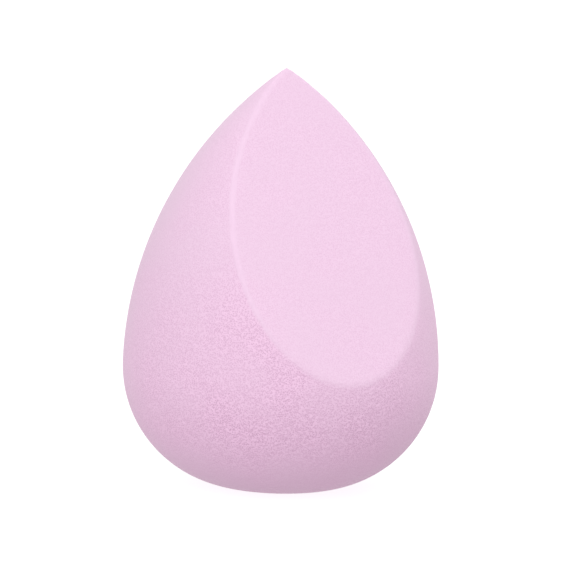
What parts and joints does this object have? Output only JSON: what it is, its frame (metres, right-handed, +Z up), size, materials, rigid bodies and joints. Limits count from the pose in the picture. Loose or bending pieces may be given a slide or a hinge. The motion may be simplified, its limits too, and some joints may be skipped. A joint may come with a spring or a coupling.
{
  "type": "makeup sponge",
  "caption": "Teardrop-shaped soft foam makeup sponge with a rounded base, a fine tip and one slanted flat face cut down from the tip, for dabbing and blending cosmetics.",
  "frame": {"origin": "middle of the small flat that the sponge stands on", "axes": "+Z up along the axis of the teardrop to the tip, -Y towards the side that the slanted face looks to, +X to the right of a viewer who faces the slanted face"},
  "size_m": [0.045, 0.045, 0.0598],
  "materials": {
    "pink_foam": "matte"
  },
  "bodies": {
    "root": {"foam_body": "pink_foam"}
  },
  "joints": []
}
